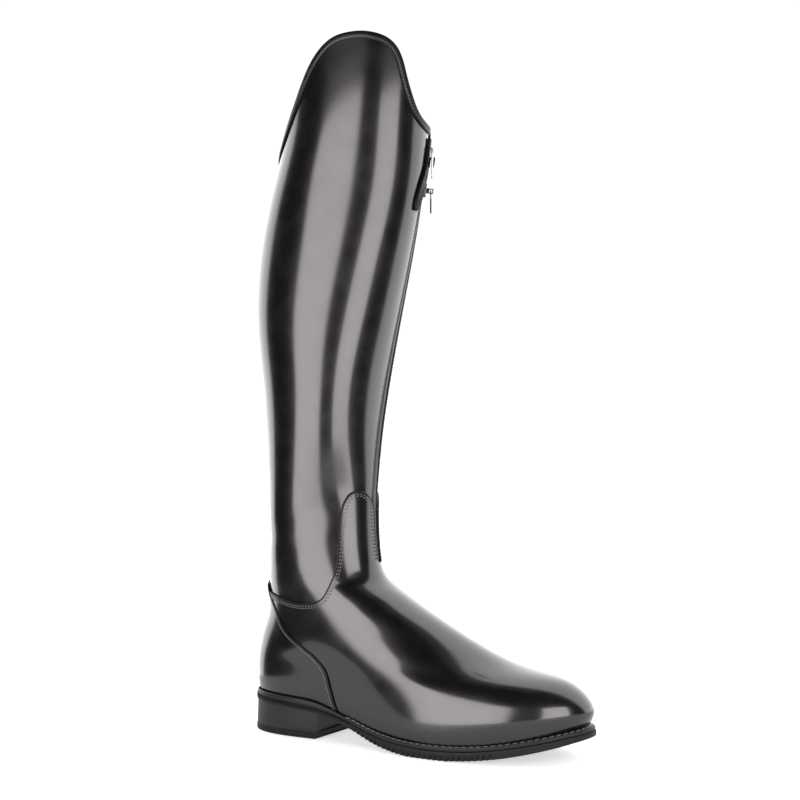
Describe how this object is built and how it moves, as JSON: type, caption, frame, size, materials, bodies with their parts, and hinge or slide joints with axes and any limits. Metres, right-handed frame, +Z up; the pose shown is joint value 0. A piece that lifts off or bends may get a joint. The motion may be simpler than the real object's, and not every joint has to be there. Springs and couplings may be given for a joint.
{
  "type": "dress riding boot",
  "caption": "Tall black leather riding boot with a high-arched collar, front zip, buckled top strap and welted rubber sole.",
  "frame": {"origin": "middle of the heel's flat bottom face", "axes": "+X to the toe, +Y to the medial side, +Z up the shaft"},
  "size_m": [0.2936, 0.1069, 0.557],
  "materials": {
    "sole_rubber": "satin black rubber",
    "welt_rubber": "satin black rubber",
    "heel_rubber": "satin black rubber",
    "lift_rubber": "matte black rubber",
    "insole_leather": "plain brown leather",
    "shaft_leather": "polished smooth black leather",
    "vamp_leather": "polished smooth black leather",
    "counter_leather": "polished smooth black leather",
    "binding_leather": "smooth black leather",
    "strap_leather": "smooth black leather",
    "zip_fabric": "woven black tape",
    "zip_teeth": "dark grey coil",
    "slider_metal": "dark lacquered metal",
    "tab_metal": "dark lacquered metal",
    "buckle_silver": "polished silver"
  },
  "bodies": {
    "boot": {"outsole": "sole_rubber", "welt": "welt_rubber", "heel_block": "heel_rubber", "heel_top_lift": "lift_rubber", "insole": "insole_leather", "upper": "shaft_leather", "vamp": "vamp_leather", "heel_counter": "counter_leather", "collar_binding": "binding_leather", "zip_tape": "zip_fabric", "zip_chain": "zip_teeth", "zip_slider": "slider_metal", "closure_strap": "strap_leather", "buckle_frame": "buckle_silver", "strap_keeper": "strap_leather"},
    "pull_tab": {"zip_pull_tab": "tab_metal"}
  },
  "joints": [
    {"name": "pull_tab_swing", "type": "hinge", "parent": "boot", "child": "pull_tab", "pos_m": [0.10847, 0.01871, 0.43765], "axis": [0.4463, -0.8949, 0], "range_deg": [-20, 150]}
  ]
}
